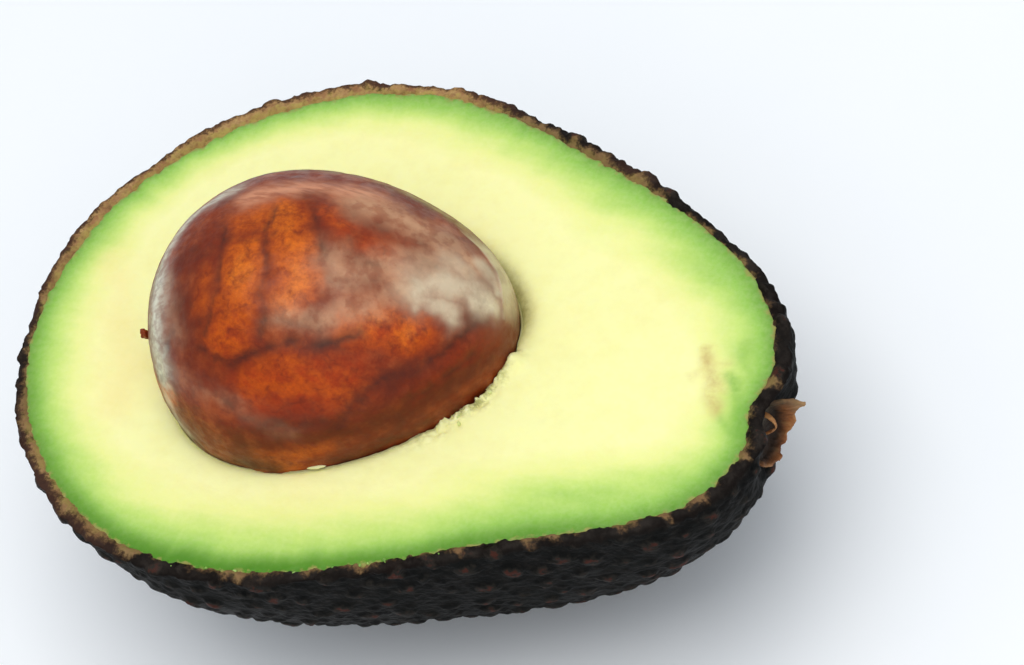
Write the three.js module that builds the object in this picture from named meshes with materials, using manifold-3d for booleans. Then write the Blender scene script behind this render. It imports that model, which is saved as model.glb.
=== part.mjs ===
// Half of an avocado with its seed, lying on its skin with the cut face level and up.
// Four pieces: the pebbly skin, the flesh that fills it, the seed in the flesh's hollow, and the
// torn woody collar where the stem was. Millimetres, +Z up. The fruit's length runs along X, from
// the round blossom end to the narrower stem end. The origin is the middle of the resting spot.
import * as THREE from 'three';
import { mergeVertices } from 'three/addons/utils/BufferGeometryUtils.js';
import Module from 'manifold-3d';

// The whole fruit, before the cut
const FRUIT_LENGTH = 99.4; // over the skin, pebbles not counted
const SKIN_THICKNESS = 1.3;
const FLESH_HALF_LENGTH = FRUIT_LENGTH / 2 - SKIN_THICKNESS;
const GIRTH_RADIUS = 34.7; // flesh radius at mid-length
const PEAR_TAPER = -0.33; // factors of the first to fourth power of the place along the fruit
const PEAR_WAIST = -0.08;
const PEAR_SHOULDER = 0.29;
const PEAR_CAP = 0.17;
const SIDE_BOW = -2.05; // how far the ends bow to one side
const SIDE_HOOK = -2.0; // how far the stem end hooks after that
const NECK_FULLNESS = 0.22; // extra depth under the neck, as a share of the radius
const NECK_PLACE = 0.56;
const NECK_REACH = 0.36;
const STEM_TUCK = 0.25; // how far the underside draws in again at the stem, as a share of the radius
const STEM_TUCK_REACH = 0.18;
const NECK_SIDE = 0.9; // how far the neck stands to the other side again
const NECK_SIDE_PLACE = 0.65;
const NECK_SIDE_REACH = 0.35;
const STEM_SHOULDER = 0.85; // fullness of the stem end round the hollow that the stem grew from
const STEM_SHOULDER_RADIUS = 22;
const STEM_DIMPLE = 3; // depth of that hollow
const STEM_DIMPLE_RADIUS = 5.5;

// The cut: the fruit's axis lies a little above it at the blossom end and below it at the stem
const AXIS_HEIGHT = 1.6;
const AXIS_FALL = 2.65;
const CUT_HEIGHT = 34.8; // the cut face over the flat spot that the half rests on
const REST_X = -5.2; // the flat spot's place along and across the fruit
const REST_Y = 1;

// Pebbles on the skin
const PEBBLE_SEED = 20;
const PEBBLE_TRIES = 16000;
const PEBBLE_SPACING = 3.3; // nearest distance between two centres
const PEBBLE_RADIUS_LOW = 1.8;
const PEBBLE_RADIUS_HIGH = 2.5;
const PEBBLE_HEIGHT_LOW = 0.4;
const PEBBLE_HEIGHT_HIGH = 0.85;
const PEBBLE_TOP = 3; // pebbles are placed up to this height over the cut

// Seed
const SEED_HALF_LENGTH = 22.5;
const SEED_HALF_WIDTH = 18.4;
const SEED_HALF_HEIGHT = 18.9;
const SEED_TAPER = -0.166; // narrows towards the stem
const SEED_TURN = THREE.MathUtils.degToRad(14); // its long axis against the fruit's
const SEED_CENTRE = new THREE.Vector3(-5.7, -1.6, 2.8);

// Torn collar at the stem end
const COLLAR_CENTRE = new THREE.Vector3(47.6, -0.8, -4.9);
const COLLAR_RADIUS = 3.8;
const COLLAR_WALL = 0.9;
const COLLAR_ROOT = 1; // depth sunk into the skin
const COLLAR_FLOOR = 0.5;
const COLLAR_LOW = 1.2; // height of the torn edge at its lowest and highest side
const COLLAR_HIGH = 3.9;
const COLLAR_HIGH_ANGLE = THREE.MathUtils.degToRad(260);
const COLLAR_TEETH = 0.35; // height of the small jags
const COLLAR_SIDES = 32;

// Clearance between neighbouring pieces, and mesh fineness
const GAP = 0.3;
const OUTER_DETAIL = 27;
const INNER_DETAIL = 11;
const SEED_DETAIL = 8;
const ROOMY = 200; // larger than the fruit, for cutting blocks
const MERGE_TOLERANCE = 1e-5;

const wasm = await Module();
wasm.setup();

// From a closed geometry to a solid that can be cut, leaving out triangles of no area
function toSolid(geometry) {
  const bare = geometry.clone();
  bare.deleteAttribute('normal');
  bare.deleteAttribute('uv');
  const merged = mergeVertices(bare, MERGE_TOLERANCE);
  const corners = merged.index.array;
  const kept = [];
  for (let i = 0; i < corners.length; i += 3) {
    const [a, b, c] = [corners[i], corners[i + 1], corners[i + 2]];
    if (a !== b && b !== c && c !== a) kept.push(a, b, c);
  }
  const vertProperties = new Float32Array(merged.attributes.position.array);
  const triVerts = new Uint32Array(kept);
  return new wasm.Manifold(new wasm.Mesh({ numProp: 3, vertProperties, triVerts }));
}

function toGeometry(solid) {
  const mesh = solid.getMesh();
  const geometry = new THREE.BufferGeometry();
  geometry.setAttribute('position', new THREE.BufferAttribute(mesh.vertProperties, 3));
  geometry.setIndex(new THREE.BufferAttribute(mesh.triVerts, 1));
  geometry.computeVertexNormals();
  return geometry;
}

// Vertices of an even unit ball, each given once
function unitBall(detail) {
  const ball = new THREE.IcosahedronGeometry(1, detail);
  ball.deleteAttribute('normal');
  ball.deleteAttribute('uv');
  return mergeVertices(ball, MERGE_TOLERANCE);
}

// A closed body made by moving every vertex of a unit ball to the place that a rule gives it
function bodyFromBall(ball, placeFor) {
  const positions = ball.attributes.position;
  const unit = new THREE.Vector3();
  for (let i = 0; i < positions.count; i += 1) {
    unit.fromBufferAttribute(positions, i).normalize();
    const place = placeFor(unit);
    positions.setXYZ(i, place.x, place.y, place.z);
  }
  return toSolid(ball);
}

// A bell of height 1, from 1 at its middle to nothing past its reach
function bell(distance, reach, power) {
  return Math.exp(-(Math.abs(distance / reach) ** power));
}

// How far the stem end stands out, round the stem and in the hollow under it
function stemEnd(y, z) {
  const fromStem = Math.hypot(y - COLLAR_CENTRE.y, z - COLLAR_CENTRE.z);
  const shoulder = STEM_SHOULDER * bell(fromStem, STEM_SHOULDER_RADIUS, 4);
  return shoulder - STEM_DIMPLE * bell(fromStem, STEM_DIMPLE_RADIUS, 4);
}

// A point of the fruit's surface, grown outwards from the flesh, for a direction from its middle
function fruitPoint(unit, grow) {
  const t = unit.x;
  const pear = 1 + t * (PEAR_TAPER + t * (PEAR_WAIST + t * (PEAR_SHOULDER + t * PEAR_CAP)));
  const girth = (GIRTH_RADIUS + grow) * pear;
  const tuck = STEM_TUCK * bell(t - 1, STEM_TUCK_REACH, 2);
  const fullness = 1 + NECK_FULLNESS * bell(t - NECK_PLACE, NECK_REACH, 2) - tuck;
  const bow = SIDE_BOW * (t ** 2 - 1 / 3) + SIDE_HOOK * (t ** 3 - 0.6 * t);
  const side = NECK_SIDE * bell(t - NECK_SIDE_PLACE, NECK_SIDE_REACH, 2);
  const y = bow + side + girth * unit.y;
  const z = AXIS_HEIGHT - AXIS_FALL * t + girth * unit.z * fullness;
  const x = (FLESH_HALF_LENGTH + grow) * t + (t > 0 ? stemEnd(y, z) : 0);
  return new THREE.Vector3(x, y, z);
}

function seededRandom(seed) {
  let state = seed;
  return () => {
    state = (Math.imul(state, 1664525) + 1013904223) >>> 0;
    return state / 2 ** 32;
  };
}

// Pebble centres, drawn one after another and kept where they stay clear of those before
function scatterPebbles() {
  const random = seededRandom(PEBBLE_SEED);
  const pebbles = [];
  for (let i = 0; i < PEBBLE_TRIES; i += 1) {
    const x = 2 * random() - 1;
    const angle = 2 * Math.PI * random();
    const size = random();
    const ring = Math.sqrt(1 - x * x);
    const unit = new THREE.Vector3(x, ring * Math.cos(angle), ring * Math.sin(angle));
    const centre = fruitPoint(unit, SKIN_THICKNESS);
    const crowded = pebbles.some((other) => other.centre.distanceTo(centre) < PEBBLE_SPACING);
    const onCollar = centre.distanceTo(COLLAR_CENTRE) < COLLAR_RADIUS + PEBBLE_RADIUS_HIGH;
    if (crowded || onCollar || centre.z > PEBBLE_TOP) continue;
    const radius = THREE.MathUtils.lerp(PEBBLE_RADIUS_LOW, PEBBLE_RADIUS_HIGH, size);
    const height = THREE.MathUtils.lerp(PEBBLE_HEIGHT_LOW, PEBBLE_HEIGHT_HIGH, size);
    pebbles.push({ unit, centre, radius, height });
  }
  return pebbles;
}

// Slides the vertex nearest to each pebble onto its centre, so that every pebble has a tip
function snapToPebbles(ball, pebbles) {
  const positions = ball.attributes.position;
  const vertex = new THREE.Vector3();
  for (const { unit } of pebbles) {
    let nearest = 0;
    let best = Infinity;
    for (let i = 0; i < positions.count; i += 1) {
      const distance = vertex.fromBufferAttribute(positions, i).distanceTo(unit);
      if (distance < best) {
        best = distance;
        nearest = i;
      }
    }
    positions.setXYZ(nearest, unit.x, unit.y, unit.z);
  }
}

// How far the skin is raised at a point, by the pebble that reaches highest there
function pebbleHeight(point, pebbles) {
  let raised = 0;
  for (const { centre, radius, height } of pebbles) {
    const share = centre.distanceTo(point) / radius;
    if (share < 1) raised = Math.max(raised, height * (1 - share * share) ** 2);
  }
  return raised;
}

function block(low, high) {
  const geometry = new THREE.BoxGeometry(ROOMY, ROOMY, high - low);
  return toSolid(geometry.translate(0, 0, (low + high) / 2));
}

function seedPoint(unit, grow) {
  const taper = 1 + SEED_TAPER * unit.x;
  const place = new THREE.Vector3(
    (SEED_HALF_LENGTH + grow) * unit.x,
    (SEED_HALF_WIDTH + grow) * unit.y * taper,
    (SEED_HALF_HEIGHT + grow) * unit.z * taper,
  );
  return place.applyAxisAngle(new THREE.Vector3(0, 0, 1), SEED_TURN).add(SEED_CENTRE);
}

// A cup turned about X, whose edge is torn: high on one side, low on the other, with small jags
function collarSolid() {
  const inner = COLLAR_RADIUS - COLLAR_WALL;
  const rim = 1;
  const profile = [
    new THREE.Vector2(0, -COLLAR_ROOT),
    new THREE.Vector2(inner, -COLLAR_ROOT),
    new THREE.Vector2(COLLAR_RADIUS, COLLAR_FLOOR),
    new THREE.Vector2(COLLAR_RADIUS, rim),
    new THREE.Vector2(COLLAR_RADIUS - COLLAR_WALL / 2, rim),
    new THREE.Vector2(inner, COLLAR_FLOOR),
    new THREE.Vector2(0, COLLAR_FLOOR),
  ];
  const cup = new THREE.LatheGeometry(profile, COLLAR_SIDES);
  const positions = cup.attributes.position;
  for (let i = 0; i < positions.count; i += 1) {
    if (profile[i % profile.length].y !== rim) continue;
    const angle = Math.atan2(positions.getX(i), positions.getZ(i));
    const lean = (0.5 + 0.5 * Math.cos(angle - COLLAR_HIGH_ANGLE)) ** 2;
    const jags = COLLAR_TEETH * (Math.sin(5 * angle) + 0.6 * Math.sin(11 * angle));
    positions.setY(i, COLLAR_LOW + (COLLAR_HIGH - COLLAR_LOW) * lean + jags);
  }
  cup.rotateZ(-Math.PI / 2);
  return toSolid(cup.translate(COLLAR_CENTRE.x, COLLAR_CENTRE.y, COLLAR_CENTRE.z));
}

// Room for the collar's root in the skin, open outwards
function collarSocket() {
  const length = COLLAR_HIGH * 4;
  const plug = new THREE.CylinderGeometry(COLLAR_RADIUS + GAP, COLLAR_RADIUS + GAP, length, COLLAR_SIDES);
  plug.translate(0, length / 2 - COLLAR_ROOT - GAP, 0);
  plug.rotateZ(-Math.PI / 2);
  return toSolid(plug.translate(COLLAR_CENTRE.x, COLLAR_CENTRE.y, COLLAR_CENTRE.z));
}

const pebbles = scatterPebbles();
const outerBall = unitBall(OUTER_DETAIL);
snapToPebbles(outerBall, pebbles);
const outerFruit = bodyFromBall(outerBall, (unit) => {
  const raised = pebbleHeight(fruitPoint(unit, SKIN_THICKNESS), pebbles);
  return fruitPoint(unit, SKIN_THICKNESS + raised);
});
const innerFruit = bodyFromBall(unitBall(INNER_DETAIL), (unit) => fruitPoint(unit, 0));
const fleshBody = bodyFromBall(unitBall(INNER_DETAIL), (unit) => fruitPoint(unit, -GAP));
const seedBody = bodyFromBall(unitBall(SEED_DETAIL), (unit) => seedPoint(unit, 0));
const seedHollow = bodyFromBall(unitBall(SEED_DETAIL), (unit) => seedPoint(unit, GAP));

// Skin and flesh are both pressed flat where the half rests
const keptHalf = block(-CUT_HEIGHT, 0);
const skinInside = innerFruit.intersect(block(SKIN_THICKNESS - CUT_HEIGHT, ROOMY / 2));
const shell = outerFruit.subtract(skinInside).intersect(keptHalf);
const skin = shell.subtract(collarSocket());
const fleshHalf = fleshBody.intersect(block(SKIN_THICKNESS + GAP - CUT_HEIGHT, 0));
const flesh = fleshHalf.subtract(seedHollow);
const collar = collarSolid().intersect(keptHalf);

const pieces = [
  { name: 'skin', solid: skin, color: 0x2a2a26, roughness: 0.5 },
  { name: 'flesh', solid: flesh, color: 0xf6f2a4, roughness: 0.55 },
  { name: 'seed', solid: seedBody, color: 0x96491f, roughness: 0.3 },
  { name: 'stem_collar', solid: collar, color: 0x7a5330, roughness: 0.8 },
];

const avocado = new THREE.Group();
avocado.position.set(-REST_X, -REST_Y, CUT_HEIGHT);
for (const { name, solid, color, roughness } of pieces) {
  const material = new THREE.MeshStandardMaterial({ color, roughness, metalness: 0 });
  const mesh = new THREE.Mesh(toGeometry(solid), material);
  mesh.name = name;
  avocado.add(mesh);
}

export default avocado;
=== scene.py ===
import itertools
import math

import bmesh
import bpy
import numpy as np
from mathutils import Color, Matrix, Vector
from mathutils.kdtree import KDTree


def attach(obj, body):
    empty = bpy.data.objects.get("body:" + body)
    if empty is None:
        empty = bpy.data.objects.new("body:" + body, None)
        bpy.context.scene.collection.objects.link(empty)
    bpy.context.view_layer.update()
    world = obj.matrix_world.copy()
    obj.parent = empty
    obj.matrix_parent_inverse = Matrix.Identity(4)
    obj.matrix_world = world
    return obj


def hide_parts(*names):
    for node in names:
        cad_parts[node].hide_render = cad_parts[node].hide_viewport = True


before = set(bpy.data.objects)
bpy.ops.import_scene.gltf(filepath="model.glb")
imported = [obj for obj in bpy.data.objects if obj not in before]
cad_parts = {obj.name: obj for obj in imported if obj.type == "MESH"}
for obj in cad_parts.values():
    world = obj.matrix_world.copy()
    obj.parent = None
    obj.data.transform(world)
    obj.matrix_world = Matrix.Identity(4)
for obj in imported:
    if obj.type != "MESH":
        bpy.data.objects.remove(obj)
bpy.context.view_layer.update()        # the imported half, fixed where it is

scene = bpy.context.scene
millimetre = 0.001

# The whole fruit before the cut, in millimetres. Its middle is at zero and the cut face at z = 0.
fruit = {
    "length": 99.4,               # over the skin, along x from the blossom end to the stem end
    "skin": 1.3,
    "girth": 34.7,                # flesh radius at mid-length
    "pear": (1.0, -0.33, -0.08, 0.29, 0.17),
    "bow": -2.05,                 # the ends bow to one side, and the stem end hooks
    "hook": -2.0,
    "neckFullness": 0.22,         # extra depth under the neck
    "neckPlace": 0.56,
    "neckReach": 0.36,
    "stemTuck": 0.25,             # the underside draws in again at the stem
    "stemTuckReach": 0.18,
    "neckSide": 0.9,
    "neckSidePlace": 0.65,
    "neckSideReach": 0.35,
    "shoulder": 0.85,             # fullness round the hollow that the stem grew from
    "shoulderRadius": 22.0,
    "dimple": 3.0,
    "dimpleRadius": 5.5,
    "axisHeight": 1.6,            # the fruit's axis against the cut
    "axisFall": 2.65,
    "cutHeight": 34.8,            # the cut face over the surface it lies on
    "restX": -5.2,
    "restY": 1.0,
    "pastEnds": 1.3,              # the form carries on this far past its ends, as a share
}

# How the photograph looks at the cut face. Pixels are in its own 1024 by 665 frame.
photo = {
    "azimuth": 44.7,
    "elevation": 49.3,
    "roll": -26.9,
    "distance": 440.0,
    "focal": 3689.0,              # in pixels
    "middle": (390.0, 337.7),     # where the fruit's middle shows
    "width": 1024,
    "height": 665,
    "sensor": 36.0,
    "clip": 0.01,
}

seedForm = {
    "halfLength": 22.5,
    "halfWidth": 18.4,
    "halfHeight": 18.9,
    "taper": -0.166,
    "turn": math.radians(14),
    "centre": np.array((-5.7, -1.6, 2.8)),
    "pastEnds": 1.2,
}

collar = {
    "centre": np.array((47.6, -0.8, -4.9)),
    "radius": 3.8,
    "wall": 0.8,
}


# Smooth noise from -1 to 1 at points, the same each run
hashing = {
    "axes": (73856093, 19349663, 83492791),
    "seed": 2654435761,
    "scramble": ((13, 2246822519), (16, 3266489917)),
    "bits": 0xFFFFFFFF,
    "nextAxis": 17,
}


def latticeNoise(points, seed):
    cell = np.floor(points).astype(np.int64)
    part = points - cell
    ease = part * part * (3 - 2 * part)
    total = np.zeros(points.shape[:-1])
    for corner in itertools.product((0, 1), repeat=3):
        mixed = np.bitwise_xor.reduce((cell + corner) * hashing["axes"], -1) ^ seed * hashing["seed"]
        for shift, factor in hashing["scramble"]:
            mixed = (mixed & hashing["bits"]) * factor & hashing["bits"]
            mixed = mixed ^ mixed >> shift
        value = mixed / (hashing["bits"] >> 1) - 1
        total += np.where(corner, ease, 1 - ease).prod(-1) * value
    return total


def layeredNoise(points, seed, layers):
    return sum(latticeNoise(points * 2 ** layer, seed + layer) / 2 ** layer for layer in range(layers))


def noiseVector(points, seed):
    return np.stack([layeredNoise(points, seed + hashing["nextAxis"] * axis, 2) for axis in range(3)], -1)


# Uneven heights: each row has a height, the size of its lumps, a seed and how many layers it has
def uneven(points, rows):
    return sum(height * layeredNoise(points / size, seed, layers) for height, size, seed, layers in rows)


# Bends that keep shapes from being even: each row has a shift, a size and a seed
def bends(points, rows):
    return sum(shift * noiseVector(points / size, seed) for shift, size, seed in rows)


def unitVector(vector):
    return vector / np.linalg.norm(vector, axis=-1, keepdims=True)


def smoothStep(low, high, value):
    share = np.clip((value - low) / (high - low), 0, 1)
    return share * share * (3 - 2 * share)


def bell(distance, reach, power=2):
    return np.exp(-np.abs(distance / reach) ** power)


# The fruit's form along its length, t from -1 at the blossom end to 1 at the stem
def pearAt(t):
    return np.polynomial.polynomial.polyval(t, fruit["pear"])


def bowAt(t):
    side = fruit["neckSide"] * bell(t - fruit["neckSidePlace"], fruit["neckSideReach"])
    return fruit["bow"] * (t ** 2 - 1 / 3) + fruit["hook"] * (t ** 3 - 0.6 * t) + side


def axisAt(t):
    return fruit["axisHeight"] - fruit["axisFall"] * t


def fullnessAt(t):
    tuck = fruit["stemTuck"] * bell(t - 1, fruit["stemTuckReach"])
    return 1 + fruit["neckFullness"] * bell(t - fruit["neckPlace"], fruit["neckReach"]) - tuck


def stemEnd(y, z):
    fromStem = np.hypot(y - collar["centre"][1], z - collar["centre"][2])
    shoulder = fruit["shoulder"] * bell(fromStem, fruit["shoulderRadius"], 4)
    return shoulder - fruit["dimple"] * bell(fromStem, fruit["dimpleRadius"], 4)


def halfLength(grow):
    return fruit["length"] / 2 - fruit["skin"] + grow


# A point of the surface, grown outwards from the flesh, for a direction from the fruit's middle
def fruitPoint(unit, grow):
    t = unit[..., 0]
    girth = (fruit["girth"] + grow) * pearAt(t)
    y = bowAt(t) + girth * unit[..., 1]
    z = axisAt(t) + girth * unit[..., 2] * fullnessAt(t)
    x = halfLength(grow) * t + np.where(t > 0, stemEnd(y, z), 0)
    return np.stack([x, y, z], -1)


# Below zero inside the fruit grown by that much, above zero outside
def fruitLevel(points, grow):
    x, y, z = points[..., 0], points[..., 1], points[..., 2]
    along = x - np.where(x > 0, stemEnd(y, z), 0)
    t = np.clip(along / halfLength(grow), -fruit["pastEnds"], fruit["pastEnds"])
    girth = (fruit["girth"] + grow) * pearAt(t)
    return ((y - bowAt(t)) / girth) ** 2 + ((z - axisAt(t)) / (girth * fullnessAt(t))) ** 2 + t * t - 1


def turnedAbout(points, turn):
    cosTurn, sinTurn = math.cos(turn), math.sin(turn)
    x, y = points[..., 0], points[..., 1]
    return np.stack([cosTurn * x - sinTurn * y, sinTurn * x + cosTurn * y, points[..., 2]], -1)


def seedLevel(points, grow):
    away = turnedAbout(points - seedForm["centre"], -seedForm["turn"])
    along = away[..., 0] / (seedForm["halfLength"] + grow)
    across = away[..., 1] / (seedForm["halfWidth"] + grow)
    up = away[..., 2] / (seedForm["halfHeight"] + grow)
    taper = 1 + seedForm["taper"] * np.clip(along, -seedForm["pastEnds"], seedForm["pastEnds"])
    return along ** 2 + (across ** 2 + up ** 2) / taper ** 2 - 1


def seedPoint(unit):
    taper = 1 + seedForm["taper"] * unit[..., 0]
    local = np.stack([
        seedForm["halfLength"] * unit[..., 0],
        seedForm["halfWidth"] * unit[..., 1] * taper,
        seedForm["halfHeight"] * unit[..., 2] * taper,
    ], -1)
    return seedForm["centre"] + turnedAbout(local, seedForm["turn"])


search = {
    "reach": 90.0,                # longer than any way out of the fruit, in millimetres
    "halvings": 30,
    "slopeStep": 0.05,
    "seedReach": 30.0,            # either side of the seed's middle, along a ray
    "seedSteps": 1201,
}


# Where rays from inside a body leave it, by halving
def leaveBody(origin, directions, level, grow):
    near = np.zeros(directions.shape[:-1])
    far = np.full(directions.shape[:-1], search["reach"])
    for _ in range(search["halvings"]):
        middle = (near + far) / 2
        inside = level(origin + directions * middle[..., None], grow) < 0
        near = np.where(inside, middle, near)
        far = np.where(inside, far, middle)
    return origin + directions * far[..., None]


def outwardAt(points, level, grow):
    steps = search["slopeStep"] * np.eye(3)
    slope = [level(points + step, grow) - level(points - step, grow) for step in steps]
    return unitVector(np.stack(slope, -1))


# The camera's place and directions in the fruit's own frame
def cameraAxes():
    azimuth, elevation = math.radians(photo["azimuth"]), math.radians(photo["elevation"])
    roll = math.radians(photo["roll"])
    back = np.array((
        math.sin(azimuth) * math.cos(elevation),
        -math.cos(azimuth) * math.cos(elevation),
        math.sin(elevation),
    ))
    level = np.array((math.cos(azimuth), math.sin(azimuth), 0))
    above = np.cross(back, level)
    right = math.cos(roll) * level + math.sin(roll) * above
    place = photo["distance"] * back
    up = np.cross(back, right)
    middleX, middleY = photo["middle"]
    aim = right * (photo["width"] / 2 - middleX) + up * (middleY - photo["height"] / 2)
    back = unitVector(place - aim * photo["distance"] / photo["focal"])
    right = unitVector(np.cross(up, back))
    return place, right, np.cross(back, right), back


def pixelRay(pixel):
    place, right, up, back = cameraAxes()
    direction = right * (pixel[0] - photo["width"] / 2) + up * (photo["height"] / 2 - pixel[1])
    return place, unitVector(direction - back * photo["focal"])


def pixelOnCut(pixel):
    place, direction = pixelRay(pixel)
    return place - direction * place[2] / direction[2]


# The seed's surface under a pixel, or its nearest side where the ray passes by
def pixelOnSeed(pixel):
    place, direction = pixelRay(pixel)
    middle = np.dot(seedForm["centre"] - place, direction)
    steps = middle + np.linspace(-search["seedReach"], search["seedReach"], search["seedSteps"])
    levels = seedLevel(place + direction * steps[:, None], 0)
    hits = np.flatnonzero(levels < 0)
    at = hits[0] if len(hits) else int(np.argmin(levels))
    return place + direction * steps[at]


# Values given at a few pixels round the cut face, carried on to every angle about a middle
def roundTheCut(angle, controls, middle):
    ways = [pixelOnCut((x, y)) - middle for x, y, _ in controls]
    places = [math.atan2(way[1], way[0]) for way in ways]
    return np.interp(angle, places, [value for _, _, value in controls], period=2 * math.pi)


def nearAngle(angle, centre, spread):
    turn = np.angle(np.exp(1j * (angle - centre)))
    return bell(turn, spread)


# The way from each stretch of a line to points
def waysFromLine(points, corners):
    for start, end in zip(corners[:-1], corners[1:]):
        run = end - start
        share = np.clip((points - start) @ run / (run @ run), 0, 1)
        yield start, end, points - start - share[:, None] * run


def awayFromLine(points, corners):
    return np.min([np.linalg.norm(away, axis=1) for _, _, away in waysFromLine(points, corners)], axis=0)


def strokeMask(points, strokes, warp, findPixel, power=2):
    mask = np.zeros(len(points))
    for pixels, width, strength in strokes:
        corners = [findPixel(pixel) for pixel in pixels]
        mask = np.maximum(mask, strength * bell(awayFromLine(points + warp, corners), width, power))
    return mask


def toWorld(points):
    offset = np.array((-fruit["restX"], -fruit["restY"], fruit["cutHeight"]))
    return (points + offset) * millimetre


# A mesh with a value of each mark at every point, for its material
def newPiece(name, points, faces, marks):
    mesh = bpy.data.meshes.new(name)
    mesh.from_pydata(toWorld(points).tolist(), [], faces)
    for label, values in marks.items():
        layer = mesh.attributes.new(label, "FLOAT", "POINT")
        layer.data.foreach_set("value", np.asarray(values, np.float32))
    mesh.shade_smooth()
    mesh.update()
    piece = bpy.data.objects.new(name, mesh)
    scene.collection.objects.link(piece)
    return piece


# Faces of a closed body made of rings of points, from one end point to the other
def ringFaces(rings, around):
    first = 1 + np.arange(rings - 1)[:, None] * around + np.arange(around)[None, :]
    nextOne = 1 + np.arange(rings - 1)[:, None] * around + (np.arange(around) + 1)[None, :] % around
    quads = np.stack([first, nextOne, nextOne + around, first + around], -1).reshape(-1, 4).tolist()
    last = 1 + (rings - 1) * around
    top = last + around
    startFan = [(0, 1 + (i + 1) % around, 1 + i) for i in range(around)]
    endFan = [(top, last + i, last + (i + 1) % around) for i in range(around)]
    return startFan + quads + endFan


def withEnds(values):
    return np.concatenate([values[:1], values, values[-1:]])


def seededRandom(seed):
    state = seed
    while True:
        state = (state * 1664525 + 1013904223) % 2 ** 32
        yield state / 2 ** 32


def turns(count):
    return np.arange(count) * 2 * math.pi / count


def ringOf(angle):
    return np.stack([np.cos(angle), np.sin(angle), 0 * angle], -1)


# Directions in rows, one row for each dip below the cut face
def sphereDirections(angle, dip):
    return ringOf(angle) * np.cos(dip)[:, None, None] - np.sin(dip)[:, None, None] * np.array((0, 0, 1.0))


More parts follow.
